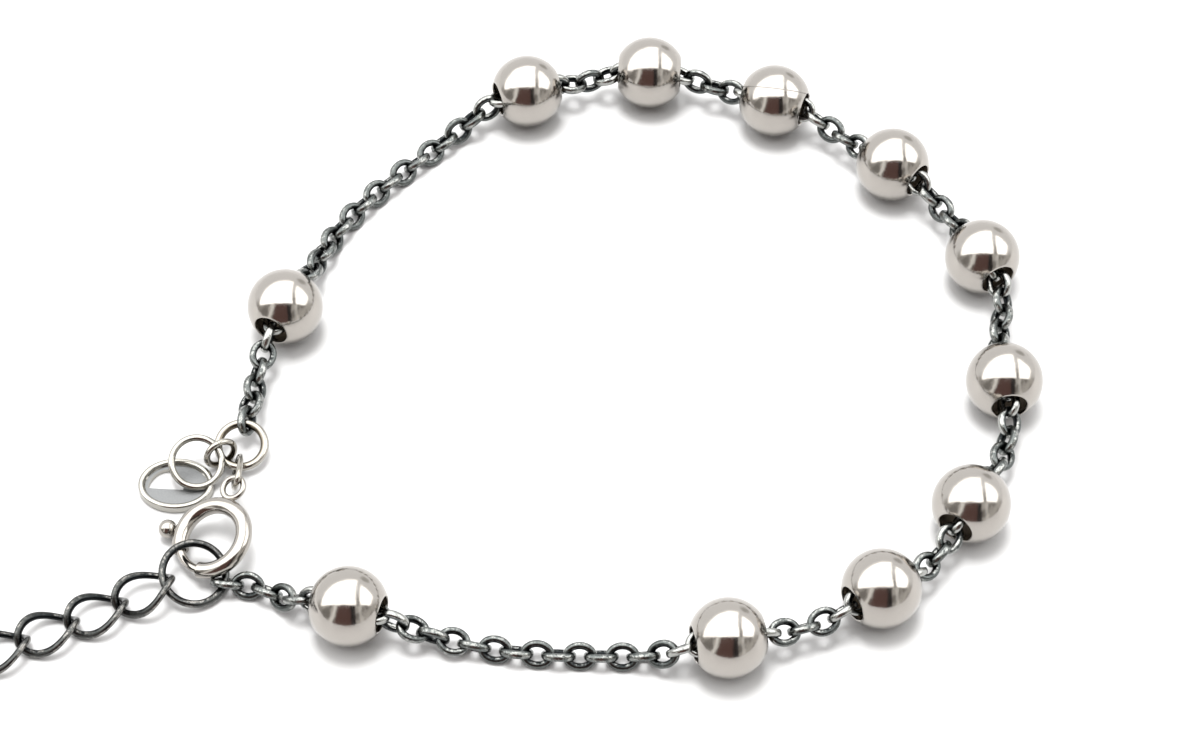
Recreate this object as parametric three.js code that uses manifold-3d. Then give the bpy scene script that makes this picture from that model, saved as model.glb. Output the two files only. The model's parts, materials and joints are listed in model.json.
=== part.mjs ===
// Rosary bracelet, laid closed on a flat surface. Hollow polished silver beads are threaded on an oxidised
// cable chain. The chain starts in a plain jump ring, which also holds a small tag and a spring ring clasp,
// and it ends in a dark ring, in which the clasp is closed and from which the extender chain hangs.
// Millimetres, +Z up, the surface at z = 0, the clasp at the left (-X) and the extender at the front (-Y).

import * as THREE from "three";
import { mergeVertices } from "three/addons/utils/BufferGeometryUtils.js";
import Module from "manifold-3d";

const wasm = await Module();
wasm.setup();

// ---- Driving dimensions ----

const BEAD_D = 5;
const BEAD_WALL = 0.3;
const BEAD_HOLE_D = 2.25;
const BEAD_SIDES = 12;

const CHAIN_WIRE_D = 0.43;
const CHAIN_WIDTH = 1.78; // over one link
const CHAIN_PITCH = 1.3; // from link to link
const CHAIN_WELD = 0.05; // how far two links are sunk into each other where they bear
const CHAIN_SIDES = 5; // of the wire
const CHAIN_SEGMENTS = 10; // round a link
const CHAIN_END_GAP = 0.15; // between its first and last links and the rings that they hold
const CHAIN_HIDDEN = 2.2; // one straight wire stands for the links this near to a bead's middle

const RUNNING_GAP = 0.1; // between wires that hang in each other

const SPRING_RING_D = 5.45; // over the tube
const SPRING_TUBE_D = 1.05;
const SPRING_BORE_D = 0.7;
const SPRING_TONGUE_D = 0.56;

// ---- Materials ----

const polishedSilver = new THREE.MeshStandardMaterial({ color: 0xe9e4e1, roughness: 0.08, metalness: 1 });
const ringSilver = new THREE.MeshStandardMaterial({ color: 0xe2dfd8, roughness: 0.16, metalness: 1 });
const darkSilver = new THREE.MeshStandardMaterial({ color: 0x4a4f50, roughness: 0.34, metalness: 1 });

// ---- Small helpers ----

const UP = new THREE.Vector3(0, 0, 1);
const rad = THREE.MathUtils.degToRad;

// A unit vector with this heading in the plan, in degrees from +X, and this rise above the level.
function direction(heading, rise = 0) {
  const [h, r] = [rad(heading), rad(rise)];
  return new THREE.Vector3(Math.cos(h) * Math.cos(r), Math.sin(h) * Math.cos(r), Math.sin(r));
}

// A closed geometry as a solid that can be joined and cut.
function solid(geometry) {
  const bare = geometry.index ? geometry.toNonIndexed() : geometry.clone();
  bare.deleteAttribute("normal");
  bare.deleteAttribute("uv");
  const merged = mergeVertices(bare, 1e-5);
  return new wasm.Manifold(
    new wasm.Mesh({
      numProp: 3,
      vertProperties: merged.attributes.position.array,
      triVerts: new Uint32Array(merged.index.array),
    }),
  );
}

// A solid as a geometry that a mesh can hold.
function geometryOf(made) {
  const { vertProperties, triVerts } = made.getMesh();
  return new THREE.BufferGeometry()
    .setAttribute("position", new THREE.BufferAttribute(vertProperties, 3))
    .setIndex(new THREE.BufferAttribute(triVerts, 1));
}

function piece(name, geometry, material) {
  const mesh = new THREE.Mesh(geometry, material);
  mesh.name = name;
  return mesh;
}

// A flat shape made solid from one height to another.
function slab(shape, from, to) {
  const geometry = new THREE.ExtrudeGeometry(shape, { depth: to - from, bevelEnabled: false });
  return geometry.translate(0, 0, from);
}

// A closed ring of round wire, flat in XY, long in X: length and width are over the wire. A twist turns its
// two ends about X in opposite ways, by that many degrees each, as a curb link is twisted to lie flat. Its
// two ends are flats, so that links bear on each other flat on flat.
function wireRing({ length, width = length, wire, sides = 6, segments = 14, twist = 0 }) {
  const half = Math.PI / segments;
  const [a, b] = [(length - wire) / 2 / Math.cos(half), (width - wire) / 2];
  const mean = (a + b) / 2;
  const geometry = new THREE.TorusGeometry(mean, wire / 2, sides, segments).rotateZ(half);
  const at = geometry.attributes.position;
  const point = new THREE.Vector3();
  for (let i = 0; i < at.count; i++) {
    point.fromBufferAttribute(at, i);
    const round = Math.atan2(point.y, point.x);
    point.x += (a - mean) * Math.cos(round);
    point.y += (b - mean) * Math.sin(round);
    point.applyAxisAngle(new THREE.Vector3(1, 0, 0), (rad(twist) * point.x) / a);
    at.setXYZ(i, point.x, point.y, point.z);
  }
  return geometry;
}

// A straight wire between two points.
function straightWire(from, to, d) {
  const along = to.clone().sub(from);
  const geometry = new THREE.CylinderGeometry(d / 2, d / 2, along.length(), CHAIN_SIDES);
  const turn = new THREE.Quaternion().setFromUnitVectors(new THREE.Vector3(0, 1, 0), along.normalize());
  geometry.applyQuaternion(turn);
  const middle = from.clone().add(to).multiplyScalar(0.5);
  return solid(geometry.translate(middle.x, middle.y, middle.z));
}

// The placement of something flat in XY: its X along one direction, its Z as near as can be to another.
function placement(centre, along, normal) {
  const x = along.clone().normalize();
  const y = normal.clone().cross(x).normalize();
  const z = x.clone().cross(y);
  return new THREE.Matrix4().makeBasis(x, y, z).setPosition(centre);
}

// The placement of something flat in XY that faces along a normal.
function facing(centre, normal) {
  return placement(centre, direction(0).projectOnPlane(normal), normal);
}

// ---- Rings of the clasp end, placed first because the chain starts and ends in two of them ----

const endRing = {
  d: 3.5,
  wire: 0.5,
  centre: new THREE.Vector3(-23.05, -6.57, 1.1),
  normal: direction(270, 74),
};

const extenderRing = {
  d: 4.4,
  wire: 0.45,
  centre: new THREE.Vector3(-25.26, -16.58, 1.17),
  normal: direction(310, 68),
};

// The centre of a ring's wire, on the side that faces a heading in the plan.
function onRing(ring, heading) {
  const out = direction(heading).projectOnPlane(ring.normal).normalize();
  return ring.centre.clone().addScaledVector(out, (ring.d - ring.wire) / 2);
}

// ---- The chain's route ----

const LINK_HALF = (CHAIN_PITCH + CHAIN_WIRE_D * Math.cos(Math.PI / CHAIN_SIDES) - CHAIN_WELD) / 2;
const LINK_LENGTH = 2 * LINK_HALF + CHAIN_WIRE_D;
const CHAIN_Z = ((CHAIN_WIDTH - CHAIN_WIRE_D) / 2) * Math.SQRT1_2 + CHAIN_WIRE_D / 2;
const BEAD_Z = BEAD_D / 2;
const CHAIN_IN_BEAD_Z = BEAD_Z - 0.1; // the chain lies low in the beads' holes
const IN_BEAD = 2.0; // the chain is straight this far either side of a bead's centre
const HANDLE = 0.36; // of a stretch's chord, the length of its curve's handles

// From the end ring round to the extender ring. Beads stand on the surface, and a "lay" is a place where
// the chain lies on it. Heading is the chain's, droop is how steeply it falls from a bead's two holes, and
// roll is how far the first of two links is turned about the chain from lying flat.
const STATIONS = [
  { kind: "end", ring: endRing, side: 82, lift: 0, heading: 80, roll: 70 },
  { kind: "bead", x: -20.8, y: 3.8, heading: 68, droop: 22, roll: -10 },
  { kind: "lay", x: -17.2, y: 12.9, heading: 57, roll: -45 },
  { kind: "lay", x: -11.9, y: 19.0, heading: 45, roll: -45 },
  { kind: "bead", x: -5.1, y: 23.3, heading: 20, droop: 26, roll: -7 },
  { kind: "bead", x: 3.5, y: 25.1, heading: -3, droop: 22, roll: -10 },
  { kind: "bead", x: 12.2, y: 22.4, heading: -22, droop: 22, roll: -40 },
  { kind: "bead", x: 20.1, y: 16.4, heading: -42, droop: 22, roll: -35 },
  { kind: "bead", x: 25.6, y: 8.1, heading: -66, droop: 22, roll: -50 },
  { kind: "bead", x: 26.2, y: -2.4, heading: -86, droop: 24, roll: -40 },
  { kind: "bead", x: 23.3, y: -12.2, heading: -122, droop: 22, roll: -30 },
  { kind: "bead", x: 17.3, y: -18.6, heading: -149, droop: 22, roll: -40 },
  { kind: "bead", x: 7.8, y: -22.2, heading: -168, droop: 22, roll: -22 },
  { kind: "lay", x: 1.2, y: -22.4, heading: 179, roll: -45 },
  { kind: "lay", x: -6.3, y: -21.9, heading: 170, roll: -45 },
  { kind: "bead", x: -15.4, y: -19.9, heading: 164, droop: 24, roll: 30 },
  { kind: "lay", x: -20.9, y: -17.5, heading: 152, roll: 45 },
  { kind: "end", ring: extenderRing, side: -16, lift: 0.135, heading: 168, roll: 51 },
];

// Where the chain comes to a station and where it leaves it, with its direction there.
function gatesOf(station) {
  if (station.kind === "bead") {
    const middle = new THREE.Vector3(station.x, station.y, CHAIN_IN_BEAD_Z);
    const axis = direction(station.heading);
    return {
      middle,
      from: middle.clone().addScaledVector(axis, -IN_BEAD),
      to: middle.clone().addScaledVector(axis, IN_BEAD),
      arriving: direction(station.heading, station.droop),
      leaving: direction(station.heading, -station.droop),
    };
  }
  const place =
    station.kind === "end"
      ? onRing(station.ring, station.side).addScaledVector(UP, station.lift)
      : new THREE.Vector3(station.x, station.y, CHAIN_Z);
  const axis = direction(station.heading);
  return { middle: place, from: place, to: place, arriving: axis, leaving: axis };
}

const route = new THREE.CurvePath();
const stops = []; // how far along the route each station's middle is
for (const [i, station] of STATIONS.entries()) {
  const here = gatesOf(station);
  if (i > 0) {
    const before = gatesOf(STATIONS[i - 1]);
    const handle = HANDLE * before.to.distanceTo(here.from);
    route.add(
      new THREE.CubicBezierCurve3(
        before.to,
        before.to.clone().addScaledVector(before.leaving, handle),
        here.from.clone().addScaledVector(here.arriving, -handle),
        here.from,
      ),
    );
  }
  if (station.kind === "bead") {
    stops.push(route.getLength() + IN_BEAD);
    route.add(new THREE.LineCurve3(here.from, here.to));
  } else {
    stops.push(i === 0 ? 0 : route.getLength());
  }
  route.cacheLengths = null;
}

// The turn about the chain, in degrees, at a distance along the route.
function rollAt(distance) {
  const next = Math.max(
    1,
    stops.findIndex((stop) => stop >= distance),
  );
  const share = (distance - stops[next - 1]) / (stops[next] - stops[next - 1]);
  return THREE.MathUtils.lerp(STATIONS[next - 1].roll, STATIONS[next].roll, share);
}

// ---- The chain ----

// Its first and last links hold the two rings' wires just inside their ends. It has an odd number of links,
// as both of those are turned alike.
const END_INSET = LINK_HALF - CHAIN_WIRE_D / 2 - endRing.wire / 2 - CHAIN_END_GAP;
const routeLength = route.getLength();
const linkCount = 2 * Math.round((routeLength - 2 * END_INSET) / CHAIN_PITCH / 2) + 1;
const pitch = (routeLength - 2 * END_INSET) / (linkCount - 1);

function linkAt(distance, turned) {
  const share = distance / routeLength;
  const centre = route.getPoint(share);
  const along = route.getTangent(share);
  const side = along.clone().cross(UP).normalize();
  const normal = side.applyAxisAngle(along, rad(rollAt(distance) + (turned ? 90 : 0) + 90));
  return { centre, along, placed: placement(centre, along, normal) };
}

function chain() {
  const link = solid(
    wireRing({
      length: LINK_LENGTH,
      width: CHAIN_WIDTH,
      wire: CHAIN_WIRE_D,
      sides: CHAIN_SIDES,
      segments: CHAIN_SEGMENTS,
    }),
  );
  const links = [];
  const wires = [];
  const beadStops = stops.filter((_, i) => STATIONS[i].kind === "bead");
  let before = null;
  let skipped = false;
  for (let i = 0; i < linkCount; i++) {
    const distance = END_INSET + i * pitch;
    const here = linkAt(distance, i % 2 === 1);
    if (beadStops.some((stop) => Math.abs(stop - distance) < CHAIN_HIDDEN)) {
      skipped = true;
      continue;
    }
    if (skipped) {
      const from = before.centre.clone().addScaledVector(before.along, LINK_HALF);
      const to = here.centre.clone().addScaledVector(here.along, -LINK_HALF);
      wires.push(straightWire(from, to, CHAIN_WIRE_D));
      skipped = false;
    }
    links.push(link.transform(here.placed.elements));
    before = here;
  }
  return piece("chain", geometryOf(wasm.Manifold.union([...links, ...wires])), darkSilver);
}

// ---- The beads: spun shells, open at both ends where they were drilled ----

// The profile of a round of this radius, from one hole's edge to the other's. Its flats touch the round
// from outside, or its corners from inside.
function beadArc(radius, steps, outside) {
  const end = Math.acos(BEAD_HOLE_D / 2 / radius);
  const reach = outside ? radius / Math.cos(end / steps) : radius;
  return Array.from({ length: steps + 1 }, (_, i) => {
    const turn = THREE.MathUtils.lerp(-end, end, i / steps);
    return new THREE.Vector2(reach * Math.cos(turn), reach * Math.sin(turn));
  });
}

// The shell's sides are flats too, and one of them faces straight down, so that the bead stands on it.
function beadShell() {
  const halfSide = Math.PI / BEAD_SIDES;
  const outer = beadArc(BEAD_D / 2, 5, true);
  const inner = beadArc(BEAD_D / 2 - BEAD_WALL, 3, false).reverse();
  const spread = 1 / Math.cos(halfSide);
  return new THREE.LatheGeometry([...outer, ...inner, outer[0]], BEAD_SIDES, halfSide).scale(spread, 1, spread);
}

function beads() {
  const shell = geometryOf(solid(beadShell()));
  return STATIONS.filter((station) => station.kind === "bead").map((station, i) => {
    const bead = piece("bead_" + String(i + 1).padStart(2, "0"), shell, polishedSilver);
    bead.position.set(station.x, station.y, BEAD_Z);
    bead.rotation.z = rad(station.heading - 90); // the shell is spun about Y
    return bead;
  });
}

// ---- The spring ring clasp, flat in XY about its own centre, and its trigger ----

const springRing = {
  centre: new THREE.Vector3(-24.27, -14.25, 1.7),
  normal: direction(208, 68),
};
const TUBE_R = (SPRING_RING_D - SPRING_TUBE_D) / 2; // of the tube's middle
const EYE = { at: 69, d: 1.8, wire: 0.38, sunk: 0.14, segments: 12 };
// Angles are in degrees round the ring, and lengths in millimetres.
const GATE = { from: 195, to: 250 }; // the tube's two mouths
const TRIGGER = { at: 161, travel: 50, behind: 9, bite: 6, post: 0.3, ball: 1.2, stand: 0.6 };
const PLAY = 4; // of the trigger at the ends of its slot, of its pocket and of its mouth
const TUBE_SIDES = 9;
const BORE_SIDES = 8;

class Arc extends THREE.Curve {
  constructor(radius, from, to) {
    super();
    Object.assign(this, { radius, from, to });
  }
  getPoint(t) {
    return direction(THREE.MathUtils.lerp(this.from, this.to, t)).multiplyScalar(this.radius);
  }
}

// A bar of round section bent along the ring, with one flat for every so many degrees.
function bentBar(d, from, to, sides, degreesEach) {
  const section = new THREE.Shape(new THREE.EllipseCurve(0, 0, d / 2, d / 2).getPoints(sides).slice(0, -1));
  const extrudePath = new Arc(TUBE_R, from, to);
  const steps = Math.round((to - from) / degreesEach);
  return solid(new THREE.ExtrudeGeometry(section, { steps, bevelEnabled: false, extrudePath }));
}

// The slot through the tube's outside, in which the trigger's post runs.
function slotCutter() {
  const [near, far] = [TUBE_R, TUBE_R + SPRING_TUBE_D];
  const width = TRIGGER.post + 2 * RUNNING_GAP;
  const rays = Array.from({ length: 6 }, (_, i) => {
    return direction(THREE.MathUtils.lerp(TRIGGER.at - TRIGGER.travel - PLAY, TRIGGER.at + PLAY, i / 5));
  });
  const shape = new THREE.Shape([
    ...rays.map((ray) => new THREE.Vector2(ray.x * far, ray.y * far)),
    ...rays.reverse().map((ray) => new THREE.Vector2(ray.x * near, ray.y * near)),
  ]);
  return solid(slab(shape, -width / 2, width / 2));
}

function springRingBody() {
  const tube = bentBar(SPRING_TUBE_D, GATE.to - 360, GATE.from, TUBE_SIDES, 15);
  const pocketEnd = TRIGGER.at - TRIGGER.travel - TRIGGER.behind - PLAY;
  const pocket = bentBar(SPRING_BORE_D, pocketEnd, GATE.from + PLAY, BORE_SIDES, 10);
  const mouth = bentBar(SPRING_BORE_D, GATE.to - PLAY, GATE.to + TRIGGER.bite + PLAY, BORE_SIDES, 10);
  const eye = wireRing({ length: EYE.d, wire: EYE.wire, segments: EYE.segments });
  const eyeAt = direction(EYE.at).multiplyScalar(TUBE_R + SPRING_TUBE_D / 2 + EYE.d / 2 - EYE.sunk);
  eye.translate(eyeAt.x, eyeAt.y, eyeAt.z);
  return tube.add(solid(eye)).subtract(pocket).subtract(mouth).subtract(slotCutter());
}

// A tongue that closes the gate, with a ball on a post to draw it back by.
function springRingTrigger() {
  const tongue = bentBar(SPRING_TONGUE_D, TRIGGER.at - TRIGGER.behind, GATE.to + TRIGGER.bite, BORE_SIDES, 10);
  const out = direction(TRIGGER.at);
  const ballAt = out.clone().multiplyScalar(TUBE_R + SPRING_TUBE_D / 2 + TRIGGER.stand);
  const post = straightWire(out.multiplyScalar(TUBE_R), ballAt, TRIGGER.post);
  const ball = new THREE.SphereGeometry(TRIGGER.ball / 2, 10, 5).translate(ballAt.x, ballAt.y, ballAt.z);
  return tongue.add(post).add(solid(ball));
}

function clasp() {
  const placed = facing(springRing.centre, springRing.normal);
  const body = piece("spring_ring", geometryOf(springRingBody()), ringSilver);
  const trigger = piece("spring_ring_trigger", geometryOf(springRingTrigger()), ringSilver);
  body.applyMatrix4(placed);
  trigger.applyMatrix4(placed);
  return [body, trigger];
}

// ---- Rings, tags and the extender chain ----

function ringPiece(name, ring, material) {
  const made = wireRing({ length: ring.d, wire: ring.wire });
  return piece(name, made.applyMatrix4(facing(ring.centre, ring.normal)), material);
}

// The oval link that joins the spring ring's eye to the end ring.
const CLASP_LINK = { width: 2.25, wire: 0.34, on: -98, slack: 0.3, faces: -20 };

function claspLink() {
  const { width, wire, on, slack, faces } = CLASP_LINK;
  const eyeReach = TUBE_R + SPRING_TUBE_D / 2 + EYE.d - EYE.sunk - EYE.wire / 2;
  const eye = direction(EYE.at).multiplyScalar(eyeReach);
  eye.applyMatrix4(facing(springRing.centre, springRing.normal));
  const held = onRing(endRing, on);
  const length = held.distanceTo(eye) + (endRing.wire + EYE.wire) / 2 + slack + 2 * wire;
  const middle = held.clone().lerp(eye, 0.5);
  const placed = placement(middle, eye.sub(held), direction(faces));
  return piece("clasp_link", wireRing({ length, width, wire }).applyMatrix4(placed), ringSilver);
}

const tagRing = {
  d: 3.6,
  wire: 0.42,
  centre: new THREE.Vector3(-25.78, -8.13, 1.35),
  normal: direction(285, 60),
};

const TAG = { length: 4.85, width: 3.95, heading: 176, floor: 0.35, rim: 0.38, rimHeight: 0.65 };
const TAG_AT = new THREE.Vector3(-27.1, -9.2, 0);
const TAG_OPENING = { width: 2.3, depth: 1.55, along: 0.65, across: 0.35 }; // a half-moon in its floor

function ovalShape(length, width, sides = 20) {
  return new THREE.Shape(new THREE.EllipseCurve(0, 0, length / 2, width / 2).getPoints(sides).slice(0, -1));
}

// An oval plate with a raised rim and a half-moon through its floor, with a ring soldered over its end.
function tag() {
  const { length, width, floor, rim, rimHeight } = TAG;
  const halfMoon = new THREE.Shape();
  halfMoon.absellipse(0, 0, TAG_OPENING.width / 2, TAG_OPENING.depth, Math.PI, 2 * Math.PI);
  const opening = new THREE.Shape(halfMoon.getPoints(8));
  const turned = new THREE.Matrix4().makeRotationZ(rad(TAG.heading)).setPosition(TAG_AT);
  const outer = slab(ovalShape(length, width), 0, rimHeight);
  const hollow = slab(ovalShape(length - 2 * rim, width - 2 * rim), floor, rimHeight + 1);
  const cut = slab(opening, -1, 1).translate(TAG_OPENING.along, TAG_OPENING.across, 0);
  const ring = wireRing({ length: tagRing.d, wire: tagRing.wire });
  const made = solid(outer.applyMatrix4(turned))
    .subtract(solid(hollow.applyMatrix4(turned)))
    .subtract(solid(cut.applyMatrix4(turned)))
    .add(solid(ring.applyMatrix4(facing(tagRing.centre, tagRing.normal))));
  return piece("tag", geometryOf(made), ringSilver);
}

const tagLink = {
  d: 2.3,
  wire: 0.38,
  centre: new THREE.Vector3(-24.33, -7.3, 1.2),
  normal: direction(301, 5),
};

const EXTENDER = { length: 4.2, width: 3.1, wire: 0.46, twist: -44, heading: 205 };
const EXTENDER_FALLS = [9, 1, 0, 0]; // how steeply each link falls away from the one before, in degrees

function extenderLinks() {
  const half = EXTENDER.length / 2 - EXTENDER.wire / 2; // to the middle of the wire
  let held = onRing(extenderRing, 203);
  let heldWire = extenderRing.wire;
  return EXTENDER_FALLS.map((fall, i) => {
    const along = direction(EXTENDER.heading, -fall);
    const inset = (heldWire + EXTENDER.wire) / 2 + RUNNING_GAP;
    const centre = held.clone().addScaledVector(along, half - inset);
    held = centre.clone().addScaledVector(along, half);
    heldWire = EXTENDER.wire;
    const made = wireRing(EXTENDER);
    return piece("extender_link_" + (i + 1), made.applyMatrix4(placement(centre, along, UP)), darkSilver);
  });
}

// ---- Everything together, with the middle of its footprint at the origin ----

const bracelet = new THREE.Group();
bracelet.add(
  chain(),
  ...beads(),
  ringPiece("end_ring", endRing, ringSilver),
  claspLink(),
  ringPiece("tag_link", tagLink, ringSilver),
  tag(),
  ...clasp(),
  ringPiece("extender_ring", extenderRing, darkSilver),
  ...extenderLinks(),
);

const bounds = new THREE.Box3().setFromObject(bracelet, true);
const middle = bounds.getCenter(new THREE.Vector3());
for (const mesh of bracelet.children) {
  mesh.applyMatrix4(new THREE.Matrix4().makeTranslation(-middle.x, -middle.y, 0));
}

export default bracelet;
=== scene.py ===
"""Rosary bracelet, laid closed on a white table: its looks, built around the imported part.

Sizes in each section are in millimetres, and its angles in degrees. Meshes are made in metres.
"""

import json
import math

import bpy
import numpy as np
from mathutils import Matrix, Vector


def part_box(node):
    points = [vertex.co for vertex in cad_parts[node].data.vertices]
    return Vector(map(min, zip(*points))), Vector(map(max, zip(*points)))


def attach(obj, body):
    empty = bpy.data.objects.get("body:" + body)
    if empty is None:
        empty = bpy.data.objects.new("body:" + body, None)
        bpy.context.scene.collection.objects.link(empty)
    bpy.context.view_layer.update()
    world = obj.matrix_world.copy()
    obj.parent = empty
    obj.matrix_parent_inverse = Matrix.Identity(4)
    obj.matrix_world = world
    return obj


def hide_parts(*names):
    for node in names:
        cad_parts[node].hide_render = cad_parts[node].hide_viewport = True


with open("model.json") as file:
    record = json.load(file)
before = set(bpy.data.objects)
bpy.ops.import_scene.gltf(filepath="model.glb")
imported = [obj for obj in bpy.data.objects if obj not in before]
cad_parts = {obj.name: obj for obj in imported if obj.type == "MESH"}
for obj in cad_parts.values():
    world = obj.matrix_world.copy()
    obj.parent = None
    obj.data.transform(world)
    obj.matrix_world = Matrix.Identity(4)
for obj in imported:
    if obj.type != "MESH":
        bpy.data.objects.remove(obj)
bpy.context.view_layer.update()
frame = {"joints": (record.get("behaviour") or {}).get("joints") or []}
scene = bpy.context.scene


# ---- The table, the light over it and the camera ----
# A white laminated table in a white light tent. Two bright panels lie either side of a thin pole overhead,
# with a clamp and a hook by them, and a round lamp hangs over the table. The tent's front is open to a dim
# room, where whoever holds the camera stands in dark clothes.

TABLE_SIZE = 6000
TABLE_WHITES = (0.395, 0.395, 0.395), (0.41, 0.41, 0.41)

# How bright each thing round the table is.
PANEL = (3.6, 3.57, 3.54)
TENT_CLOTH = (1.36, 1.36, 1.36)
CHINK = (1.5, 1.48, 1.43)
ROOM_DIM = (0.36, 0.34, 0.32)
ROOM_LIT = (0.82, 0.79, 0.75)
FITTING = (0.6, 0.58, 0.55)
CLOTHES = (0.19, 0.11, 0.097)
SLEEVE = (0.04, 0.035, 0.035)

LAMP_D = 280
LAMP_POWER = 8  # watts
LAMP_AT = (-30, 80, 720)

CAMERA_HEIGHT = 154.69
CAMERA_TILT = 52  # below the level
CAMERA_LENS = 89.3
CAMERA_AIM = (5.05, -1.43)  # where its axis meets the table


class Signal:
    """One value on its way through the nodes. Sums on it add Math nodes."""

    def __init__(self, nodes, socket):
        self.nodes = nodes
        self.socket = socket

    def math(self, operation, *values):
        return self.nodes.add("Math", {"operation": operation}, dict(enumerate(values)))

    def __add__(self, other):
        return self.math("ADD", self, other)

    def __sub__(self, other):
        return self.math("SUBTRACT", self, other)

    def __rsub__(self, other):
        return self.math("SUBTRACT", other, self)

    def __mul__(self, other):
        return self.math("MULTIPLY", self, other)

    def __abs__(self):
        return self.math("ABSOLUTE", self)

    __radd__ = __add__
    __rmul__ = __mul__

    def at_least(self, other):
        return self.math("MAXIMUM", self, other)

    def above(self, low, high):
        """0 below low, 1 above high, and a smooth step between. With low over high it falls instead."""
        sockets = {"Value": self, "From Min": low, "From Max": high}
        return self.nodes.add("MapRange", {"interpolation_type": "SMOOTHSTEP"}, sockets)


class Nodes:
    """The nodes of one finish, or of the light in the tent."""

    def __init__(self, tree):
        self.tree = tree
        self.tree.nodes.clear()

    def add(self, kind, settings=None, sockets=None, out=0):
        node = self.tree.nodes.new("ShaderNode" + kind)
        for name, value in (settings or {}).items():
            setattr(node, name, value)
        for name, value in (sockets or {}).items():
            if isinstance(value, Signal):
                self.tree.links.new(value.socket, node.inputs[name])
            else:
                node.inputs[name].default_value = value
        return Signal(self, node.outputs[out]) if node.outputs else None

    def blend(self, share, first, second):
        """A colour between two, each of them numbers or a colour on its way through the nodes."""
        ends = [c if isinstance(c, Signal) else (*c, 1) for c in (first, second)]
        return self.add("Mix", {"data_type": "RGBA"}, {0: share, 6: ends[0], 7: ends[1]}, out=2)


def finish(name, make):
    """A material whose nodes are made by a function, which returns the values of its shader's sockets."""
    material = bpy.data.materials.new(name)
    material.use_nodes = True
    nodes = Nodes(material.node_tree)
    shader = nodes.add("BsdfPrincipled", sockets=make(nodes))
    nodes.add("OutputMaterial", sockets={"Surface": shader})
    return material


def in_millimetres(nodes):
    """Where a point of the surface is, in millimetres."""
    place = nodes.add("TexCoord", out=3)
    return nodes.add("VectorMath", {"operation": "SCALE"}, {0: place, "Scale": 1000})


def table_top(nodes):
    place = in_millimetres(nodes)
    cloud = nodes.add("TexNoise", sockets={"Vector": place, "Scale": 0.02, "Detail": 2})
    fleck = nodes.add("TexNoise", sockets={"Vector": place, "Scale": 3, "Detail": 3})
    height = nodes.add("Bump", sockets={"Height": fleck, "Strength": 0.05, "Distance": 0.00002})
    return {
        "Base Color": nodes.blend(cloud, *TABLE_WHITES),
        "Roughness": 0.38 + 0.1 * fleck,
        "Specular IOR Level": 0.5,
        "Normal": height,
    }


def tent_light(nodes):
    """How bright the tent is in each direction, for the light and for what the metal mirrors."""
    towards = nodes.add("TexCoord", out=0)
    parts = nodes.add("SeparateXYZ", sockets={0: towards})
    x, y, z = (Signal(nodes, output) for output in parts.socket.node.outputs)

    # The front's upper edge leans over the table, and both panels end there.
    edge = y + 0.58 * z
    overhead = edge.above(-0.04, 0.06)
    front = edge.above(0, -0.05) * z.above(-0.06, 0)

    # Each panel ends at the back, low down, and at the pole between them.
    pole = x + 0.12 * y
    left_end = (1.12 * z + 0.25 * x - y).above(-0.06, 0.16)
    left = overhead * left_end * z.above(0.1, 0.3) * pole.above(0.46, 0.38)
    right_end = (0.8 * z - y).above(-0.1, 0.08)
    right = overhead * right_end * z.above(0.22, 0.38) * pole.above(0.53, 0.6)
    clamp = (0.505 * x + 0.815 * y + 0.284 * z).above(0.98, 0.997)
    hook = (0.458 * y + 0.713 * z - 0.528 * x).above(0.9975, 0.9992)

    # Light comes in by the person's shoulder and at the far side of the tent's front.
    shoulder = x - 0.22 * z
    right_side = x.above(0.42, 0.38)
    person = front * shoulder.above(-0.61, -0.56) * right_side
    sleeve = front * x.above(0.14, 0.24) * right_side
    chinks = front * (abs(shoulder + 0.69).above(0.09, 0.02) + 0.5 * abs(x - 0.62).above(0.09, 0.03))

    smudge = nodes.add("TexNoise", sockets={"Vector": towards, "Scale": 3.2, "Detail": 2})
    room = nodes.blend(smudge.above(0.42, 0.6), ROOM_DIM, ROOM_LIT)
    colour = nodes.blend(y.above(-0.1, 0.25), room, TENT_CLOTH)
    colour = nodes.blend(chinks, colour, CHINK)
    colour = nodes.blend(left + right, colour, PANEL)
    colour = nodes.blend(0.8 * clamp + 0.7 * hook, colour, FITTING)
    colour = nodes.blend(person, colour, CLOTHES)
    return nodes.blend(sleeve, colour, SLEEVE)


world = bpy.data.worlds.new("tent")
world.use_nodes = True
tent = Nodes(world.node_tree)
glow = tent.add("Background", sockets={"Color": tent_light(tent), "Strength": 1.0})
tent.add("OutputWorld", sockets={"Surface": glow})
scene.world = world

bpy.ops.mesh.primitive_grid_add(x_subdivisions=8, y_subdivisions=8, size=TABLE_SIZE / 1000)
table = bpy.context.object
table.name = "table"
table.data.materials.append(finish("table_top", table_top))

lamp = bpy.data.lights.new("key_light", "AREA")
lamp.shape = "DISK"
lamp.size = LAMP_D / 1000
lamp.energy = LAMP_POWER
key = bpy.data.objects.new("key_light", lamp)
key.location = [v / 1000 for v in LAMP_AT]
key.rotation_euler = key.location.to_track_quat("Z", "Y").to_euler()
key.visible_glossy = False
scene.collection.objects.link(key)

back = CAMERA_HEIGHT / math.tan(math.radians(CAMERA_TILT))
camera = bpy.data.objects.new("camera", bpy.data.cameras.new("camera"))
camera.location = (CAMERA_AIM[0] / 1000, (CAMERA_AIM[1] - back) / 1000, CAMERA_HEIGHT / 1000)
camera.rotation_euler = (math.radians(90 - CAMERA_TILT), 0, 0)
camera.data.lens = CAMERA_LENS
camera.data.sensor_width = 36
camera.data.clip_start = 0.01
scene.collection.objects.link(camera)
scene.camera = camera
scene.view_settings.view_transform = "Standard"


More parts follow.
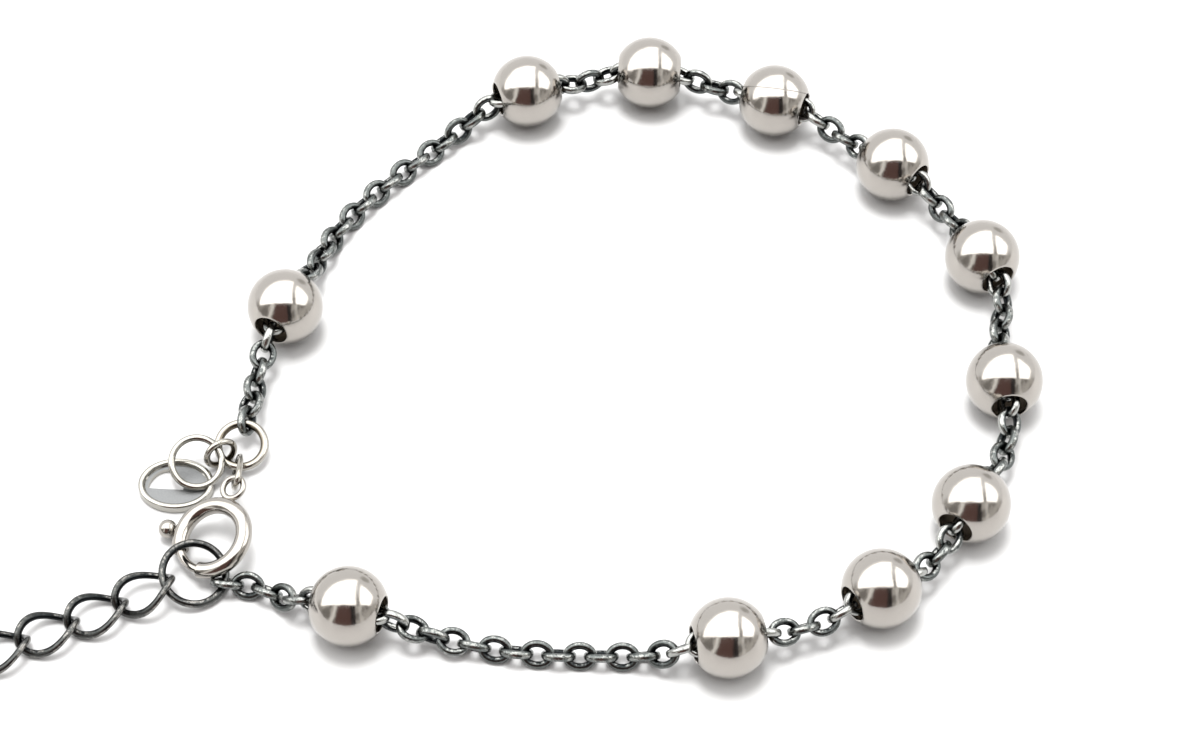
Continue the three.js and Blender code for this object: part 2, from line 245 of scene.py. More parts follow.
# ---- The cable chain ----
# Round sterling wire, cut, closed into nearly round links at right angles to each other, soldered, and
# blackened in a sulphur bath. Wear has rubbed the wire back to silver outside its bends, most of all by the
# beads, whose holes scour the links that run in and out of them. Along its top the wire is painted lighter,
# a painted highlight.

WIRE = 0.46
WIRE_WIDENED = 1.12  # how much wider than thick the wire's rolled section is
WIRE_FULLNESS = 0.8  # 1 is an oval section, and less is squarer
LINK_WIDTH = 1.8
LINK_PITCH = 1.3
LINK_BEARING = 0.05  # how far links are sunk into each other where they bear
LINK_SIDES = 12
LINK_STEPS = 36
BEAD_RUN = 2.0  # the chain is straight this far either side of a bead's centre
BEAD_SAG = 0.1  # and hangs this far under the middle of its hole
CHAIN_LIES_AT = (LINK_WIDTH - WIRE) / 2 * math.sqrt(0.5) + WIRE / 2
CURVE_HANDLE = 0.36  # how far a stretch keeps its end's direction, as a share of its chord
STRETCH_STEPS = 400
RUN_STEPS = 40
END_GAP = 0.15  # play between an end link and its ring
LINK_WOBBLE = 3  # how unevenly the links are turned, in degrees
HOLE_AT = 2.2  # from a bead's centre to the edge that scours the links
SCOURED = 1.6  # how far from that edge they are scoured

SULPHIDE = (0.012, 0.014, 0.015)
# The second colour is the rubbed silver and also the painted highlight along the wire's top. The number is
# how strongly that painted highlight is laid on.
CHAIN_FINISH = {"steel": (0.105, 0.114, 0.111), "worn_and_sheen": (0.36, 0.365, 0.35), "top_sheen": 0.85}

# The two rings that the chain ends in, as they lie: the size over the wire, the wire, and how each is turned.
END_RING = {"node": "end_ring", "d": 3.5, "wire": 0.5, "heading": 270, "rise": 74}
EXTENDER_RING = {"node": "extender_ring", "d": 4.4, "wire": 0.45, "heading": 310, "rise": 68}

# Heading is the chain's, droop is how steeply it falls from a bead's two holes, and roll is how far the
# first of two links is turned about the chain.
STATIONS = [
    {"ring": END_RING, "side": 82, "lift": 0, "heading": 80, "roll": 70},
    {"bead": "bead_01", "heading": 68, "droop": 22, "roll": -10},
    {"lies": (-12.15, 11.47), "heading": 57, "roll": -45},
    {"lies": (-6.85, 17.57), "heading": 45, "roll": -45},
    {"bead": "bead_02", "heading": 20, "droop": 26, "roll": -7},
    {"bead": "bead_03", "heading": -3, "droop": 22, "roll": -10},
    {"bead": "bead_04", "heading": -22, "droop": 22, "roll": -40},
    {"bead": "bead_05", "heading": -42, "droop": 22, "roll": -35},
    {"bead": "bead_06", "heading": -66, "droop": 22, "roll": -50},
    {"bead": "bead_07", "heading": -86, "droop": 24, "roll": -40},
    {"bead": "bead_08", "heading": -122, "droop": 22, "roll": -30},
    {"bead": "bead_09", "heading": -149, "droop": 22, "roll": -40},
    {"bead": "bead_10", "heading": -168, "droop": 22, "roll": -22},
    {"lies": (6.25, -23.83), "heading": 179, "roll": -45},
    {"lies": (-1.25, -23.33), "heading": 170, "roll": -45},
    {"bead": "bead_11", "heading": 164, "droop": 24, "roll": 30},
    {"lies": (-15.85, -18.93), "heading": 152, "roll": 45},
    {"ring": EXTENDER_RING, "side": -16, "lift": 0.135, "heading": 168, "roll": 51},
]


def direction(heading, rise=0):
    h, r = math.radians(heading), math.radians(rise)
    return Vector((math.cos(h) * math.cos(r), math.sin(h) * math.cos(r), math.sin(r)))


def middle_of(node):
    """The middle of a CAD node, in millimetres."""
    low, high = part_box(node)
    return (low + high) * 500  # half the sum, in millimetres


def on_ring(ring, heading):
    """The middle of a ring's wire, on the side that faces a heading in the plan."""
    normal = direction(ring["heading"], ring["rise"])
    out = direction(heading)
    out = (out - out.dot(normal) * normal).normalized()
    return middle_of(ring["node"]) + out * (ring["d"] - ring["wire"]) / 2


def placing(centre, along, normal):
    """Turns X along one direction and Z as near as can be to another, and moves the origin to the centre."""
    x = along.normalized()
    y = normal.cross(x).normalized()
    turned = Matrix((x, y, x.cross(y))).transposed().to_4x4()
    return Matrix.Translation(centre) @ turned


def placed(points, matrix):
    m = np.array(matrix)
    return points @ m[:3, :3].T + m[:3, 3]


def bent_wire(path, outward, across, radius, sides, closed=True, widened=1):
    """Wire along a path, round or rolled. The third list is how far each point is on the outside of the bend,
    from -1 to 1."""
    turn = np.linspace(0, 2 * math.pi, sides, endpoint=False)
    n = len(path)
    radius = np.broadcast_to(radius, (n,))[:, None, None]
    out, side = np.cos(turn), np.sin(turn)
    if widened != 1:
        out = np.sign(out) * abs(out) ** WIRE_FULLNESS
        side = np.sign(side) * abs(side) ** WIRE_FULLNESS * widened
    ring = out[None, :, None] * outward[:, None, :] + side[None, :, None] * across[:, None, :]
    points = (path[:, None, :] + radius * ring).reshape(-1, 3)
    i = np.arange(n if closed else n - 1)[:, None]
    j = np.arange(sides)[None, :]
    k, m = (i + 1) % n, (j + 1) % sides
    quads = np.stack([i * sides + j, k * sides + j, k * sides + m, i * sides + m], axis=-1).reshape(-1, 4)
    faces = [tuple(q) for q in quads]
    if not closed:
        faces += [tuple(range(sides)), tuple(range(n * sides - 1, (n - 1) * sides - 1, -1))]
    return points, faces, np.tile(np.cos(turn), n)


def oval_wire(length, width, wire, sides, steps, twist=0, cut=None, widened=1):
    """A ring or link flat in XY, long in X. A cut leaves it open by a hair at that angle, in degrees, as a
    jump ring is. A twist turns its two ends about X in opposite ways, by that angle."""
    a, b = (length - wire) / 2, (width - wire) / 2
    if cut is None:
        t = np.linspace(0, 2 * math.pi, steps, endpoint=False)
    else:
        hair = 0.012 / a  # half the joint's width, as an angle
        t = math.radians(cut) + np.linspace(hair, 2 * math.pi - hair, steps + 1)
    path = np.stack([a * np.cos(t), b * np.sin(t), 0 * t], axis=1)
    outward = np.stack([b * np.cos(t), a * np.sin(t), 0 * t], axis=1)
    outward /= np.linalg.norm(outward, axis=1)[:, None]
    across = np.tile([0.0, 0.0, 1.0], (len(t), 1))
    points, faces, outside = bent_wire(path, outward, across, wire / 2, sides, cut is None, widened)
    turn = np.radians(twist) * points[:, 0] / a
    y = points[:, 1] * np.cos(turn) - points[:, 2] * np.sin(turn)
    z = points[:, 1] * np.sin(turn) + points[:, 2] * np.cos(turn)
    return np.stack([points[:, 0], y, z], axis=1), faces, outside


def piece_of(name, parts, finishes, measures=None, sharp=None):
    """A mesh object from lists of points in millimetres and faces. Measures are values for each point, which
    its finish can read by name."""
    points = np.concatenate([p for p, _ in parts])
    starts = np.cumsum([0] + [len(p) for p, _ in parts])
    faces = [tuple(int(v + start) for v in face) for (_, fs), start in zip(parts, starts) for face in fs]
    mesh = bpy.data.meshes.new(name)
    mesh.from_pydata((points / 1000).tolist(), [], faces)
    for material in finishes:
        mesh.materials.append(material)
    for label, values in (measures or {}).items():
        mesh.attributes.new(label, "FLOAT", "POINT").data.foreach_set("value", np.asarray(values, np.float32))
    mesh.shade_smooth()
    if sharp:
        mesh.set_sharp_from_angle(angle=math.radians(sharp))
    made = bpy.data.objects.new(name, mesh)
    scene.collection.objects.link(made)
    return made


def gates_of(station):
    """Where the chain comes to a station and where it leaves it, with its direction there."""
    axis = direction(station["heading"])
    if "bead" in station:
        middle = middle_of(station["bead"]) - Vector((0, 0, BEAD_SAG))
        arriving = direction(station["heading"], station["droop"])
        leaving = direction(station["heading"], -station["droop"])
        return middle - axis * BEAD_RUN, middle + axis * BEAD_RUN, arriving, leaving
    if "ring" in station:
        place = on_ring(station["ring"], station["side"]) + Vector((0, 0, station["lift"]))
    else:
        place = Vector((*station["lies"], CHAIN_LIES_AT))
    return place, place, axis, axis


def chain_route():
    """Close points along the chain, how far along each is, and how far along each station is."""
    route = []
    marks = []
    before = None
    for station in STATIONS:
        come, go, arriving, leaving = gates_of(station)
        if before:
            start, out = before
            handle = CURVE_HANDLE * (come - start).length
            t = np.linspace(0, 1, STRETCH_STEPS)[:, None]
            corners = [np.array(v) for v in (start, start + out * handle, come - arriving * handle, come)]
            weights = ((1 - t) ** 3, 3 * t * (1 - t) ** 2, 3 * t**2 * (1 - t), t**3)
            route.append(sum(w * c for w, c in zip(weights, corners)))
        if "bead" in station:
            route.append(np.linspace(come, go, RUN_STEPS))
        marks.append((len(route), "bead" in station))
        before = go, leaving
    points = np.concatenate(route)
    keep = np.append(True, np.linalg.norm(np.diff(points, axis=0), axis=1) > 1e-9)
    ends = np.cumsum([len(part) for part in route])
    gone = np.append(0, np.cumsum(np.linalg.norm(np.diff(points, axis=0), axis=1)))
    stops = [0 if n == 0 else gone[ends[n - 1] - 1] - (BEAD_RUN if bead else 0) for n, bead in marks]
    return points[keep], gone[keep], stops


def chain_links():
    """The placing of each link and how scoured it is by a bead's hole, from 0 to 1. Then a link's length."""
    half = (LINK_PITCH + WIRE - LINK_BEARING) / 2
    points, gone, stops = chain_route()
    inset = half - WIRE / 2 - END_RING["wire"] / 2 - END_GAP
    count = 2 * round((gone[-1] - 2 * inset) / LINK_PITCH / 2) + 1  # odd, so both end links stand alike
    middles = np.linspace(inset, gone[-1] - inset, count)
    beads_at = [stop for stop, station in zip(stops, STATIONS) if "bead" in station]
    holes = [at + side * HOLE_AT for at in beads_at for side in (-1, 1)]
    rolls = np.interp(middles, stops, [station["roll"] for station in STATIONS])
    wobble = np.random.default_rng(11).normal(0, LINK_WOBBLE, count)
    placings = []
    for i, distance in enumerate(middles):
        nearby = (distance - 0.02, distance, distance + 0.02)
        behind, here, ahead = (Vector([np.interp(d, gone, points[:, k]) for k in range(3)]) for d in nearby)
        along = (ahead - behind).normalized()
        side = along.cross(Vector((0, 0, 1))).normalized()
        turn = math.radians(rolls[i] + wobble[i] + 90 * (i % 2) + 90)
        normal = Matrix.Rotation(turn, 3, along) @ side
        scoured = max(0, 1 - min(abs(distance - hole) for hole in holes) / SCOURED)
        placings.append((placing(here, along, normal), scoured))
    return placings, 2 * half + WIRE


def blackened(nodes, steel, worn_and_sheen, top_sheen):
    """Black silver sulphide that goes over to a steel grey, and is rubbed through to silver outside the
    wire's bends and where a bead's hole scours it. Its upward faces are painted towards that silver too, a
    painted highlight."""
    place = in_millimetres(nodes)
    outside = nodes.add("Attribute", {"attribute_name": "outside"}, out=2)
    rubbed = nodes.add("Attribute", {"attribute_name": "rubbed"}, out=2)
    patch = nodes.add("TexNoise", sockets={"Vector": place, "Scale": 3.2, "Detail": 4, "Roughness": 0.65})
    grain = nodes.add("TexNoise", sockets={"Vector": place, "Scale": 14, "Detail": 3})
    rise = nodes.add("SeparateXYZ", sockets={0: nodes.add("TexCoord", out=1)}, out=2)
    # Painted highlight: faces of the wire that point up are painted towards the rubbed silver, on top of the
    # real wear outside the bends.
    proud_or_sheen = outside.at_least(top_sheen * rise.above(0.72, 0.98))
    thinned = (outside + 1.7 * patch + 0.9 * grain).above(0.6, 1.6)
    bare_or_sheen = (proud_or_sheen + 2 * patch + 0.6 * grain + 0.8 * rubbed).above(2.0, 2.6)
    height = nodes.add("Bump", sockets={"Height": grain + patch, "Strength": 0.45, "Distance": 0.00002})
    return {
        "Base Color": nodes.blend(bare_or_sheen, nodes.blend(thinned, SULPHIDE, steel), worn_and_sheen),
        "Metallic": 1.0,
        "Roughness": 0.17 - 0.03 * bare_or_sheen + 0.08 * grain,
        "Normal": height,
    }


def chain():
    placings, length = chain_links()
    link, faces, outside = oval_wire(length, LINK_WIDTH, WIRE, LINK_SIDES, LINK_STEPS, widened=WIRE_WIDENED)
    parts = [(placed(link, matrix), faces) for matrix, _ in placings]
    measures = {
        "outside": np.tile(outside, len(placings)),
        "rubbed": np.repeat([scoured for _, scoured in placings], len(link)),
    }
    black = finish("blackened_chain", lambda nodes: blackened(nodes, **CHAIN_FINISH))
    made = piece_of("cable_chain", parts, [black], measures)
    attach(made, "bracelet")
    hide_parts("chain")


chain()


# ---- The beads ----
# Hollow balls spun from thin sterling sheet, drilled through, their holes' edges turned in, and polished to
# a mirror. They slide on the chain. Their insides are never polished, and have gone brown.

BEAD_D = 5
BEAD_WALL = 0.3
HOLE_D = 2.25
HOLE_EDGE = 0.09  # radius of the turned edge
BEAD_SPIN = 96
BEAD_INSIDE_STEPS = 10
BEAD_EDGE_STEPS = 7
BEAD_OUTSIDE_STEPS = 26
BEAD_SILVER = (0.415, 0.392, 0.363)
BEAD_SCRATCH = (0.16, 0.15, 0.14)
BEAD_STAINS = (0.10, 0.075, 0.06), (0.28, 0.24, 0.18)
SCRATCHED = {"bead_04": {"faces": (81, 38), "from_middle": 0.62}}  # where a hairline crosses a bead
UNSCRATCHED = {"faces": (0, 0), "from_middle": BEAD_D}


def bead_profile():
    """From the middle of the inside, round the turned edge of one hole, to the middle of the outside."""
    radius, hole = BEAD_D / 2, HOLE_D / 2
    inner_end = math.asin(hole / (radius - BEAD_WALL))
    inner = np.linspace(math.pi / 2, inner_end, BEAD_INSIDE_STEPS)
    inside = np.stack([np.cos(inner), np.sin(inner)], axis=1) * (radius - BEAD_WALL)
    outer_end = math.asin((hole + HOLE_EDGE) / radius)
    rim = np.radians(np.linspace(180, 90, BEAD_EDGE_STEPS)[:-1])
    lip = math.cos(outer_end) * radius
    edge_x, edge_r = lip - HOLE_EDGE, hole + HOLE_EDGE
    edge = np.stack([edge_x + HOLE_EDGE * np.sin(rim), edge_r + HOLE_EDGE * np.cos(rim)], axis=1)
    outer = np.linspace(outer_end, math.pi / 2, BEAD_OUTSIDE_STEPS)
    outside = np.stack([np.cos(outer), np.sin(outer)], axis=1) * radius
    return np.concatenate([inside, edge, outside])


def polished(nodes, colour, gloss):
    """Polished sterling: a mirror with a slightly warm cast and faint swirls."""
    place = in_millimetres(nodes)
    cloud = nodes.add("TexNoise", sockets={"Vector": place, "Scale": 0.9, "Detail": 3})
    swirl = nodes.add("TexNoise", sockets={"Vector": place, "Scale": 7, "Detail": 5, "Distortion": 1.5})
    height = nodes.add("Bump", sockets={"Height": cloud + 0.03 * swirl, "Strength": 0.7, "Distance": 0.00003})
    dulled = tuple(0.93 * c for c in colour)
    return {
        "Base Color": nodes.blend(cloud, dulled, colour),
        "Metallic": 1.0,
        "Roughness": gloss + 0.06 * swirl.above(0.45, 0.8),
        "Normal": height,
    }


def bead_outside(nodes):
    made = polished(nodes, BEAD_SILVER, 0.13)
    across = nodes.add("Attribute", {"attribute_name": "from_scratch"}, out=2)
    hairline = abs(across).above(0.05, 0.015)
    made["Base Color"] = nodes.blend(hairline * 0.8, made["Base Color"], BEAD_SCRATCH)
    made["Roughness"] = made["Roughness"] + 0.3 * hairline
    return made


def bead_inside(nodes):
    place = in_millimetres(nodes)
    stain = nodes.add("TexNoise", sockets={"Vector": place, "Scale": 1.5, "Detail": 4})
    height = nodes.add("Bump", sockets={"Height": stain, "Strength": 0.3, "Distance": 0.00005})
    colour = nodes.blend(stain, *BEAD_STAINS)
    return {"Base Color": colour, "Metallic": 1.0, "Roughness": 0.35 + 0.2 * stain, "Normal": height}


def spun(profile, steps):
    """A profile of places along X and radii, spun about X. Its two ends are left open."""
    turn = np.linspace(0, 2 * math.pi, steps, endpoint=False)
    x = np.repeat(profile[:, 0], steps)
    y = np.outer(profile[:, 1], np.cos(turn)).ravel()
    z = np.outer(profile[:, 1], np.sin(turn)).ravel()
    i = np.arange(len(profile) - 1)[:, None] * steps
    j = np.arange(steps)[None, :]
    k = (j + 1) % steps
    quads = np.stack([i + j, i + k, i + steps + k, i + steps + j], axis=-1).reshape(-1, 4)
    return np.stack([x, y, z], axis=1), [tuple(q) for q in quads]


def beads():
    half = bead_profile()
    profile = np.concatenate([half, half[-2::-1] * [-1, 1]])
    shell, faces = spun(profile, BEAD_SPIN)
    row = np.repeat(np.arange(len(profile) - 1), BEAD_SPIN)
    inside = (row < BEAD_INSIDE_STEPS - 1) | (row >= len(profile) - BEAD_INSIDE_STEPS)
    finishes = [finish("bead_silver", bead_outside), finish("bead_inside", bead_inside)]
    for station in STATIONS:
        if "bead" not in station:
            continue
        node = station["bead"]
        middle = middle_of(node)
        points = placed(shell, placing(middle, direction(station["heading"]), Vector((0, 0, 1))))
        scratch = SCRATCHED.get(node, UNSCRATCHED)
        across = (points - np.array(middle)) @ np.array(direction(*scratch["faces"]))
        measures = {"from_scratch": across - scratch["from_middle"]}
        made = piece_of(node + "_ball", [(points, faces)], finishes, measures)
        made.data.polygons.foreach_set("material_index", inside.astype(np.int32))
        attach(made, "bracelet")
        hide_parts(node)


beads()


# ---- The jump rings and the clasp's oval link ----
# Polished round sterling wire, bent, cut and pushed shut, so that each ring shows a hair of a joint. The
# oval one is soldered shut. They hold the chain's end, the tag and the clasp together.

RING_SIDES = 20
RING_STEPS = 96
WIRE_OVER = 0.04  # how much drawn wire measures over its size
TAG_LINK = {"node": "tag_link", "d": 2.3, "wire": 0.38, "heading": 301, "rise": 5}
CLASP_LINK = {"width": 2.25, "wire": 0.34, "on": -98, "slack": 0.3, "faces": -20}  # on: the ring's side

# The clasp's spring ring, whose eye the oval link holds. Angles on it go round it from its own X.
SPRING_RING_D = 5.45
TUBE_D = 1.05
TUBE_R = (SPRING_RING_D - TUBE_D) / 2
EYE = {"at": 69, "d": 1.8, "wire": 0.38, "sunk": 0.14}

RING_SILVER = (0.40, 0.382, 0.343)
RING_TARNISH = (0.13, 0.112, 0.085)  # on the inner side, which no cloth reaches


def facing(centre, normal):
    """Turns Z along a normal, with X kept as near as can be to the table's X."""
    x = Vector((1, 0, 0))
    return placing(centre, x - x.dot(normal) * normal, normal)


def ring_silver(nodes):
    made = polished(nodes, RING_SILVER, 0.15)
    outside = nodes.add("Attribute", {"attribute_name": "outside"}, out=2)
    made["Base Color"] = nodes.blend(outside.above(0.15, -0.6), made["Base Color"], RING_TARNISH)
    return made


def jump_ring(name, ring, cut, material):
    over = ring["d"] + WIRE_OVER
    points, faces, outside = oval_wire(over, over, ring["wire"] + WIRE_OVER, RING_SIDES, RING_STEPS, cut=cut)
    lies = facing(middle_of(ring["node"]), direction(ring["heading"], ring["rise"]))
    made = piece_of(name, [(placed(points, lies), faces)], [material], {"outside": outside}, sharp=50)
    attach(made, "bracelet")
    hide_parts(ring["node"])


def clasp_link(material, spring_ring_lies):
    reach = TUBE_R + TUBE_D / 2 + EYE["d"] - EYE["sunk"] - EYE["wire"] / 2
    eye = spring_ring_lies @ (direction(EYE["at"]) * reach)
    held = on_ring(END_RING, CLASP_LINK["on"])
    wire = CLASP_LINK["wire"]
    length = (held - eye).length + (END_RING["wire"] + EYE["wire"]) / 2 + CLASP_LINK["slack"] + 2 * wire
    points, faces, _ = oval_wire(length, CLASP_LINK["width"], wire + WIRE_OVER, RING_SIDES, RING_STEPS)
    lies = placing((held + eye) / 2, eye - held, direction(CLASP_LINK["faces"]))
    made = piece_of("clasp_oval_link", [(placed(points, lies), faces)], [material])
    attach(made, "bracelet")
    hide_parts("clasp_link")


hinge = frame["joints"][0]
clasp_lies = facing(Vector(hinge["pos_m"]) * 1000, Vector(hinge["axis"]))
wire_silver = finish("ring_silver", ring_silver)
jump_ring("end_jump_ring", END_RING, 200, wire_silver)
jump_ring("tag_jump_ring", TAG_LINK, 95, wire_silver)
clasp_link(wire_silver, clasp_lies)


# ---- The spring ring clasp ----
# A sterling tube bent round with a gap in it, slotted along its outside, with an eye soldered on. A tongue
# slides in it, pushed shut by a coil spring, and is drawn back by a ball on a post through the slot.

BORE_D = 0.7
TONGUE_D = 0.56
GATE = (195, 250)  # the gap that the tongue shuts

# Where the post is when shut, how far it goes back, and how far the tongue reaches behind the post and into
# the mouth, in degrees. Then how thick the post and the ball are, and how far the ball's middle stands off.
TRIGGER = {"at": 161, "travel": 50, "behind": 9, "bite": 6, "post": 0.3, "ball": 1.2, "stand": 0.6}
PLAY = 4  # degrees that bore and slot are longer than the tongue and its travel need
SLOT_PLAY = 0.1  # to each side of the post
TONGUE_TIP = 5
CUT_EDGE = 0.02
TUBE_SIDES = 48
EYE_STEPS = 64
KNOB_SPIN = 40
CLASP_SILVER = (0.385, 0.365, 0.335)


def bent_bar(d, start, end, sides=32, each=3.0, tip=0):
    """Round bar bent along the ring. A tip is how long its rounded end is, in degrees."""
    t = np.linspace(start, end, int(round((end - start) / each)) + 1)
    if tip:
        t = np.concatenate([t[t < end - tip], end - tip * (1 - np.sin(np.linspace(0, math.pi / 2, 7)))])
    out = np.stack([np.cos(np.radians(t)), np.sin(np.radians(t)), 0 * t], axis=1)
    across = np.tile([0.0, 0.0, 1.0], (len(t), 1))
    shrink = np.clip((t - (end - tip)) / tip, 0, 0.98) if tip else 0 * t
    radius = d / 2 * np.sqrt(1 - shrink**2)
    points, faces, _ = bent_wire(TUBE_R * out, out, across, radius, sides, closed=False)
    return points, faces


def carved(solid, cutters):
    """Points and faces of a solid with others cut from it, and its cut edges rounded."""
    made = []
    for points, faces in (solid, *cutters):
        mesh = bpy.data.meshes.new("carving")
        mesh.from_pydata(points.tolist(), [], faces)
        made.append(bpy.data.objects.new("carving", mesh))
        scene.collection.objects.link(made[-1])
    for cutter in made[1:]:
        cut = made[0].modifiers.new("cut", "BOOLEAN")
        cut.operation = "DIFFERENCE"
        cut.object = cutter
    rounded = made[0].modifiers.new("rounded", "BEVEL")
    rounded.width = CUT_EDGE
    rounded.segments = 2
    rounded.angle_limit = math.radians(50)
    left = made[0].evaluated_get(bpy.context.evaluated_depsgraph_get()).to_mesh()
    points = np.array([v.co for v in left.vertices])
    faces = [tuple(face.vertices) for face in left.polygons]
    for thing in made:
        bpy.data.objects.remove(thing)
    return points, faces


def slot_cutter():
    t = np.radians(np.linspace(TRIGGER["at"] - TRIGGER["travel"] - PLAY, TRIGGER["at"] + PLAY, 24))
    ray = np.stack([np.cos(t), np.sin(t), 0 * t], axis=1)
    half = TRIGGER["post"] / 2 + SLOT_PLAY
    corners = [(TUBE_R, -half), (TUBE_R + TUBE_D, -half), (TUBE_R + TUBE_D, half), (TUBE_R, half)]
    points = np.stack([ray * r + [0, 0, z] for r, z in corners], axis=1).reshape(-1, 3)
    faces = []
    for i in range(0, len(points) - 4, 4):
        faces += [(i + j, i + 4 + j, i + 4 + (j + 1) % 4, i + (j + 1) % 4) for j in range(4)]
    last = len(points) - 1
    return points, faces + [(0, 1, 2, 3), (last, last - 1, last - 2, last - 3)]


def clasp_silver(nodes):
    return polished(nodes, CLASP_SILVER, 0.13)


def clasp():
    silver = finish("clasp_silver", clasp_silver)
    pocket = bent_bar(BORE_D, TRIGGER["at"] - TRIGGER["travel"] - TRIGGER["behind"] - PLAY, GATE[0] + PLAY)
    mouth = bent_bar(BORE_D, GATE[1] - PLAY, GATE[1] + TRIGGER["bite"] + PLAY)
    tube = carved(bent_bar(TUBE_D, GATE[1] - 360, GATE[0], sides=TUBE_SIDES), [pocket, mouth, slot_cutter()])
    points, faces, _ = oval_wire(EYE["d"], EYE["d"], EYE["wire"], RING_SIDES, EYE_STEPS)
    eye = points + np.array(direction(EYE["at"])) * (TUBE_R + TUBE_D / 2 + EYE["d"] / 2 - EYE["sunk"])
    parts = [(placed(p, clasp_lies), f) for p, f in (tube, (eye, faces))]
    body = piece_of("spring_ring_tube", parts, [silver], sharp=40)
    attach(body, "bracelet")
    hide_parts("spring_ring")

    tongue = bent_bar(TONGUE_D, TRIGGER["at"] - TRIGGER["behind"], GATE[1] + TRIGGER["bite"], tip=TONGUE_TIP)
    ball_at = TUBE_R + TUBE_D / 2 + TRIGGER["stand"]
    t = np.linspace(0.28, math.pi - 0.02, 30)  # from where the ball meets the post to its far end
    ball = np.stack([ball_at - TRIGGER["ball"] / 2 * np.cos(t), TRIGGER["ball"] / 2 * np.sin(t)], axis=1)
    post = np.array([[TUBE_R, TRIGGER["post"] / 2], [TUBE_R + TUBE_D / 2, TRIGGER["post"] / 2]])
    knob, knob_faces = spun(np.concatenate([post, ball]), KNOB_SPIN)
    knob_faces.append(tuple(range(len(knob) - KNOB_SPIN, len(knob))))
    knob = placed(knob, Matrix.Rotation(math.radians(TRIGGER["at"]), 4, "Z"))
    parts = [(placed(p, clasp_lies), f) for p, f in (tongue, (knob, knob_faces))]
    trigger = piece_of("spring_ring_tongue", parts, [silver], sharp=60)
    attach(trigger, "trigger")
    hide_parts("spring_ring_trigger")


clasp()


# ---- The tag ----
# A small cast sterling tag: an oval plate with a raised rim and a half-moon opening in its floor, soldered
# to a ring that hangs it from the jump ring. The rim is polished, and the floor is left matt and bare.

TAG = {"length": 4.85, "width": 3.95, "high": 0.65, "heading": 176, "floor": 0.35, "rim": 0.38}
TAG_RIM_SOFT = 0.14  # how high the rim's rounded top is
TAG_MIDDLE = (2.419, 1.970, 0)  # from the lowest corner of the node's box
TAG_OPENING = {"width": 2.3, "depth": 1.55, "along": 0.65, "across": 0.35}
TAG_RING = {"d": 3.6, "wire": 0.42, "middle": (3.739, 3.040, 1.35), "heading": 285, "rise": 60}
TAG_STEPS = 96
TAG_SILVER = (0.40, 0.39, 0.357)
TAG_MATT = (0.16, 0.166, 0.168), (0.225, 0.23, 0.232)


def tag_loops():
    """The plate's outline taken round its section: the underside, the rim over its top, and the floor."""
    half = np.array([TAG["length"], TAG["width"]]) / 2
    top, rim, floor, soft = TAG["high"], TAG["rim"], TAG["floor"], TAG_RIM_SOFT
    t = np.linspace(0, 2 * math.pi, TAG_STEPS, endpoint=False)
    oval = np.stack([np.cos(t), np.sin(t)], axis=1)
    crown = np.linspace(math.pi, 0, 9)
    section = [(0.05, 0), (0, 0.05), (0, top - soft)]
    section += [(rim / 2 * (1 + math.cos(a)), top - soft + soft * math.sin(a)) for a in crown[1:-1]]
    section += [(rim, top - soft), (rim, floor + 0.06), (rim + 0.06, floor)]
    return [np.column_stack([oval * (half - inset), np.full(TAG_STEPS, z)]) for inset, z in section], t


def half_moon(t):
    """The opening's edge, one point for each step round the plate."""
    a, b = TAG_OPENING["width"] / 2, TAG_OPENING["depth"]
    bowed = np.stack([a * np.cos(t), b * np.sin(t)], axis=1)
    flat = np.stack([a * np.cos(t), 0 * t], axis=1)
    edge = np.where((np.sin(t) < 0)[:, None], bowed, flat)
    return edge + [TAG_OPENING["along"], TAG_OPENING["across"]]


def tag_silver(nodes):
    return polished(nodes, TAG_SILVER, 0.17)


def tag_floor(nodes):
    place = in_millimetres(nodes)
    sand = nodes.add("TexNoise", sockets={"Vector": place, "Scale": 9, "Detail": 5})
    height = nodes.add("Bump", sockets={"Height": sand, "Strength": 0.3, "Distance": 0.00003})
    colour = nodes.blend(sand, *TAG_MATT)
    return {"Base Color": colour, "Metallic": 1.0, "Roughness": 0.38 + 0.1 * sand, "Normal": height}


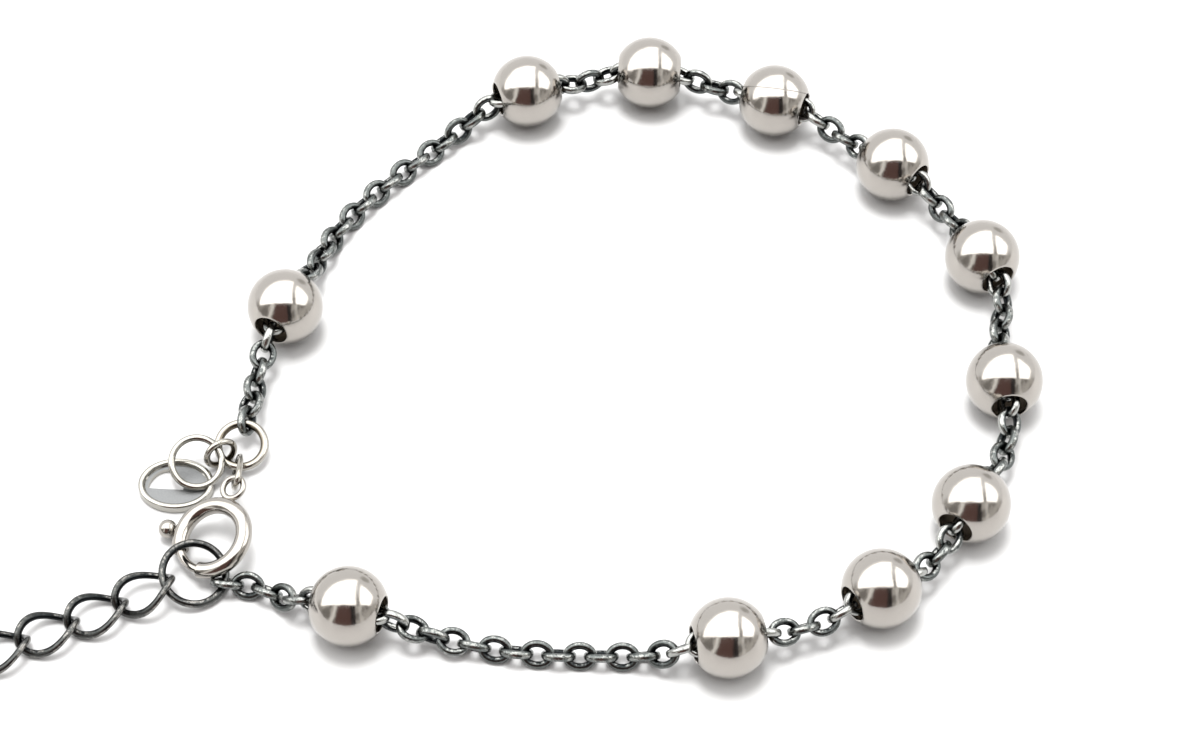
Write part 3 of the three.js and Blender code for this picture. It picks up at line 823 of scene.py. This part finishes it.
def tag():
    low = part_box("tag")[0] * 1000
    loops, t = tag_loops()
    edge = half_moon(t)
    loops.append(np.column_stack([edge, np.full(TAG_STEPS, TAG["floor"])]))
    loops.append(np.column_stack([edge, np.full(TAG_STEPS, 0.0)]))
    points = np.concatenate(loops)
    n = len(loops)
    i, j = np.arange(n)[:, None], np.arange(TAG_STEPS)[None, :]
    k = (j + 1) % TAG_STEPS
    this, up = i * TAG_STEPS, (i + 1) % n * TAG_STEPS
    quads = np.stack([this + j, this + k, up + k, up + j], axis=-1)
    plate_faces = [tuple(q) for q in quads.reshape(-1, 4)]
    turned = Matrix.Rotation(math.radians(TAG["heading"]), 4, "Z")
    lies = Matrix.Translation(low + Vector(TAG_MIDDLE)) @ turned
    over = TAG_RING["d"] + WIRE_OVER
    ring, ring_faces, _ = oval_wire(over, over, TAG_RING["wire"] + WIRE_OVER, RING_SIDES, RING_STEPS)
    hangs = facing(low + Vector(TAG_RING["middle"]), direction(TAG_RING["heading"], TAG_RING["rise"]))
    parts = [(placed(points, lies), plate_faces), (placed(ring, hangs), ring_faces)]
    finishes = [finish("tag_silver", tag_silver), finish("tag_floor", tag_floor)]
    made = piece_of("tag_plate", parts, finishes, sharp=40)
    floor_faces = np.repeat(np.arange(n) == n - 3, TAG_STEPS)  # between the rim's foot and the opening
    matt = np.concatenate([floor_faces, np.zeros(len(ring_faces), bool)])
    made.data.polygons.foreach_set("material_index", matt.astype(np.int32))
    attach(made, "bracelet")
    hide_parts("tag")


tag()


# ---- The extender ring and chain ----
# Blackened like the chain, but of thicker wire: a round ring, in which the clasp is closed, and curb links,
# each twisted so that the chain lies flat. The wire is painted bright along its top, a painted highlight.

EXTENDER = {"length": 4.2, "width": 3.1, "wire": 0.46, "twist": -44, "heading": 205}
EXTENDER_FALLS = (9, 1, 0, 0)  # how steeply each link falls away from the ring
# The second colour is the rubbed silver and also the painted highlight along the wire's top. The number is
# how strongly that painted highlight is laid on.
EXTENDER_FINISH = {"steel": (0.07, 0.073, 0.071), "worn_and_sheen": (0.26, 0.25, 0.235), "top_sheen": 0.9}

black_wire = finish("blackened_wire", lambda nodes: blackened(nodes, **EXTENDER_FINISH))
jump_ring("extender_jump_ring", EXTENDER_RING, 130, black_wire)
curb_sizes = [EXTENDER[size] + WIRE_OVER for size in ("length", "width", "wire")]
link, link_faces, outside = oval_wire(*curb_sizes, RING_SIDES, RING_STEPS, twist=EXTENDER["twist"])
for number, fall in enumerate(EXTENDER_FALLS, 1):
    node = f"extender_link_{number}"
    lies = placing(middle_of(node), direction(EXTENDER["heading"], -fall), Vector((0, 0, 1)))
    parts = [(placed(link, lies), link_faces)]
    curb = piece_of(f"extender_curb_{number}", parts, [black_wire], {"outside": outside})
    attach(curb, "bracelet")
    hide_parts(node)
